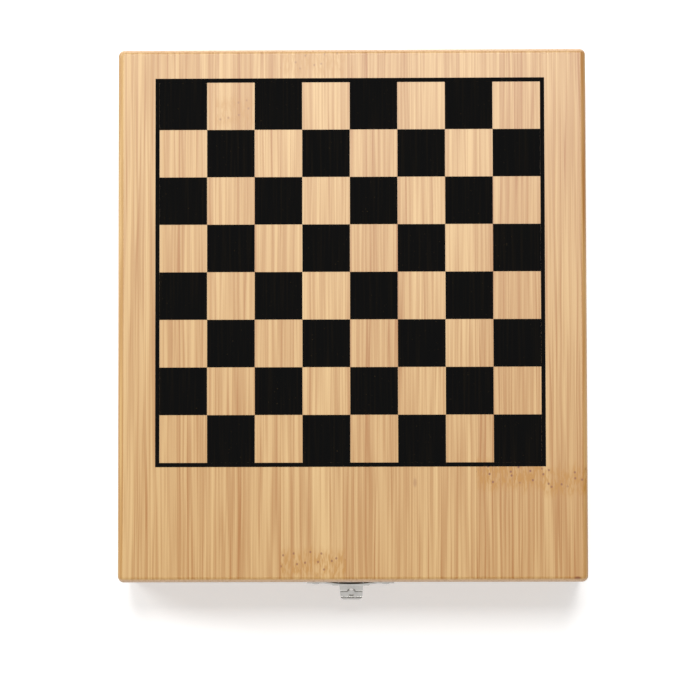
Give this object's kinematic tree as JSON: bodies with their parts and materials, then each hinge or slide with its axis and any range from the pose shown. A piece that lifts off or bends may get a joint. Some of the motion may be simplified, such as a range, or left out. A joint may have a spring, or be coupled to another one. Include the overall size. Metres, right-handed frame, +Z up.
{
  "type": "chess set",
  "caption": "Closed hinged bamboo case with a chessboard printed on its lid, a nickel clasp at the front and turned wooden men lying in a foam tray inside.",
  "frame": {"origin": "centre of the case's underside, on the surface it stands on", "axes": "+X to the right, +Y from the clasp towards the back hinges, +Z up through the lid"},
  "size_m": [0.1474, 0.1759, 0.0403],
  "materials": {
    "bamboo": "satin lacquered flat-pressed bamboo",
    "board_ink": "matte black ink",
    "nickel": "polished nickel plate",
    "foam": "black flocked foam",
    "light_wood": "satin turned wood",
    "dark_wood": "satin black-stained turned wood"
  },
  "bodies": {
    "case_base": {"base_front_wall": "bamboo", "base_back_wall": "bamboo", "base_left_wall": "bamboo", "base_right_wall": "bamboo", "base_bottom_panel": "bamboo", "left_hinge_base_leaf": "nickel", "right_hinge_base_leaf": "nickel", "left_hinge_pin": "nickel", "right_hinge_pin": "nickel", "hinge_screws_base": "nickel", "clasp_catch_plate": "nickel", "clasp_catch_nails": "nickel", "foam_tray": "foam"},
    "box_lid": {"lid_front_rail": "bamboo", "lid_back_rail": "bamboo", "lid_left_rail": "bamboo", "lid_right_rail": "bamboo", "lid_top_panel": "bamboo", "board_print": "board_ink", "left_hinge_lid_leaf": "nickel", "right_hinge_lid_leaf": "nickel", "hinge_screws_lid": "nickel", "clasp_lid_plate": "nickel", "clasp_pin": "nickel", "clasp_lid_nails": "nickel", "lid_lining": "foam"},
    "hasp": {"clasp_hasp": "nickel"},
    "white_rook_1": {"white_rook_1": "light_wood"},
    "white_knight_1": {"white_knight_1": "light_wood"},
    "white_bishop_1": {"white_bishop_1": "light_wood"},
    "white_queen": {"white_queen": "light_wood"},
    "white_king": {"white_king": "light_wood"},
    "white_bishop_2": {"white_bishop_2": "light_wood"},
    "white_knight_2": {"white_knight_2": "light_wood"},
    "white_rook_2": {"white_rook_2": "light_wood"},
    "white_pawn_1": {"white_pawn_1": "light_wood"},
    "white_pawn_2": {"white_pawn_2": "light_wood"},
    "white_pawn_3": {"white_pawn_3": "light_wood"},
    "white_pawn_4": {"white_pawn_4": "light_wood"},
    "white_pawn_5": {"white_pawn_5": "light_wood"},
    "white_pawn_6": {"white_pawn_6": "light_wood"},
    "white_pawn_7": {"white_pawn_7": "light_wood"},
    "white_pawn_8": {"white_pawn_8": "light_wood"},
    "black_rook_1": {"black_rook_1": "dark_wood"},
    "black_knight_1": {"black_knight_1": "dark_wood"},
    "black_bishop_1": {"black_bishop_1": "dark_wood"},
    "black_queen": {"black_queen": "dark_wood"},
    "black_king": {"black_king": "dark_wood"},
    "black_bishop_2": {"black_bishop_2": "dark_wood"},
    "black_knight_2": {"black_knight_2": "dark_wood"},
    "black_rook_2": {"black_rook_2": "dark_wood"},
    "black_pawn_1": {"black_pawn_1": "dark_wood"},
    "black_pawn_2": {"black_pawn_2": "dark_wood"},
    "black_pawn_3": {"black_pawn_3": "dark_wood"},
    "black_pawn_4": {"black_pawn_4": "dark_wood"},
    "black_pawn_5": {"black_pawn_5": "dark_wood"},
    "black_pawn_6": {"black_pawn_6": "dark_wood"},
    "black_pawn_7": {"black_pawn_7": "dark_wood"},
    "black_pawn_8": {"black_pawn_8": "dark_wood"}
  },
  "joints": [
    {"name": "box_lid_hinge", "type": "hinge", "parent": "case_base", "child": "box_lid", "pos_m": [0, 0.08503, 0.0251], "axis": [-1, 0, 0], "range_deg": [0, 180]},
    {"name": "clasp_hasp_hinge", "type": "hinge", "parent": "box_lid", "child": "hasp", "pos_m": [-0.00075, -0.08475, 0.0272], "axis": [-1, 0, 0], "range_deg": [0, 100]},
    {"name": "lift_white_rook_1", "type": "slide", "parent": "case_base", "child": "white_rook_1", "axis": [0, 0, 1], "range_m": [0, 0.009]},
    {"name": "lift_white_knight_1", "type": "slide", "parent": "case_base", "child": "white_knight_1", "axis": [0, 0, 1], "range_m": [0, 0.009]},
    {"name": "lift_white_bishop_1", "type": "slide", "parent": "case_base", "child": "white_bishop_1", "axis": [0, 0, 1], "range_m": [0, 0.009]},
    {"name": "lift_white_queen", "type": "slide", "parent": "case_base", "child": "white_queen", "axis": [0, 0, 1], "range_m": [0, 0.009]},
    {"name": "lift_white_king", "type": "slide", "parent": "case_base", "child": "white_king", "axis": [0, 0, 1], "range_m": [0, 0.009]},
    {"name": "lift_white_bishop_2", "type": "slide", "parent": "case_base", "child": "white_bishop_2", "axis": [0, 0, 1], "range_m": [0, 0.009]},
    {"name": "lift_white_knight_2", "type": "slide", "parent": "case_base", "child": "white_knight_2", "axis": [0, 0, 1], "range_m": [0, 0.009]},
    {"name": "lift_white_rook_2", "type": "slide", "parent": "case_base", "child": "white_rook_2", "axis": [0, 0, 1], "range_m": [0, 0.009]},
    {"name": "lift_white_pawn_1", "type": "slide", "parent": "case_base", "child": "white_pawn_1", "axis": [0, 0, 1], "range_m": [0, 0.009]},
    {"name": "lift_white_pawn_2", "type": "slide", "parent": "case_base", "child": "white_pawn_2", "axis": [0, 0, 1], "range_m": [0, 0.009]},
    {"name": "lift_white_pawn_3", "type": "slide", "parent": "case_base", "child": "white_pawn_3", "axis": [0, 0, 1], "range_m": [0, 0.009]},
    {"name": "lift_white_pawn_4", "type": "slide", "parent": "case_base", "child": "white_pawn_4", "axis": [0, 0, 1], "range_m": [0, 0.009]},
    {"name": "lift_white_pawn_5", "type": "slide", "parent": "case_base", "child": "white_pawn_5", "axis": [0, 0, 1], "range_m": [0, 0.009]},
    {"name": "lift_white_pawn_6", "type": "slide", "parent": "case_base", "child": "white_pawn_6", "axis": [0, 0, 1], "range_m": [0, 0.009]},
    {"name": "lift_white_pawn_7", "type": "slide", "parent": "case_base", "child": "white_pawn_7", "axis": [0, 0, 1], "range_m": [0, 0.009]},
    {"name": "lift_white_pawn_8", "type": "slide", "parent": "case_base", "child": "white_pawn_8", "axis": [0, 0, 1], "range_m": [0, 0.009]},
    {"name": "lift_black_rook_1", "type": "slide", "parent": "case_base", "child": "black_rook_1", "axis": [0, 0, 1], "range_m": [0, 0.009]},
    {"name": "lift_black_knight_1", "type": "slide", "parent": "case_base", "child": "black_knight_1", "axis": [0, 0, 1], "range_m": [0, 0.009]},
    {"name": "lift_black_bishop_1", "type": "slide", "parent": "case_base", "child": "black_bishop_1", "axis": [0, 0, 1], "range_m": [0, 0.009]},
    {"name": "lift_black_queen", "type": "slide", "parent": "case_base", "child": "black_queen", "axis": [0, 0, 1], "range_m": [0, 0.009]},
    {"name": "lift_black_king", "type": "slide", "parent": "case_base", "child": "black_king", "axis": [0, 0, 1], "range_m": [0, 0.009]},
    {"name": "lift_black_bishop_2", "type": "slide", "parent": "case_base", "child": "black_bishop_2", "axis": [0, 0, 1], "range_m": [0, 0.009]},
    {"name": "lift_black_knight_2", "type": "slide", "parent": "case_base", "child": "black_knight_2", "axis": [0, 0, 1], "range_m": [0, 0.009]},
    {"name": "lift_black_rook_2", "type": "slide", "parent": "case_base", "child": "black_rook_2", "axis": [0, 0, 1], "range_m": [0, 0.009]},
    {"name": "lift_black_pawn_1", "type": "slide", "parent": "case_base", "child": "black_pawn_1", "axis": [0, 0, 1], "range_m": [0, 0.009]},
    {"name": "lift_black_pawn_2", "type": "slide", "parent": "case_base", "child": "black_pawn_2", "axis": [0, 0, 1], "range_m": [0, 0.009]},
    {"name": "lift_black_pawn_3", "type": "slide", "parent": "case_base", "child": "black_pawn_3", "axis": [0, 0, 1], "range_m": [0, 0.009]},
    {"name": "lift_black_pawn_4", "type": "slide", "parent": "case_base", "child": "black_pawn_4", "axis": [0, 0, 1], "range_m": [0, 0.009]},
    {"name": "lift_black_pawn_5", "type": "slide", "parent": "case_base", "child": "black_pawn_5", "axis": [0, 0, 1], "range_m": [0, 0.009]},
    {"name": "lift_black_pawn_6", "type": "slide", "parent": "case_base", "child": "black_pawn_6", "axis": [0, 0, 1], "range_m": [0, 0.009]},
    {"name": "lift_black_pawn_7", "type": "slide", "parent": "case_base", "child": "black_pawn_7", "axis": [0, 0, 1], "range_m": [0, 0.009]},
    {"name": "lift_black_pawn_8", "type": "slide", "parent": "case_base", "child": "black_pawn_8", "axis": [0, 0, 1], "range_m": [0, 0.009]}
  ]
}
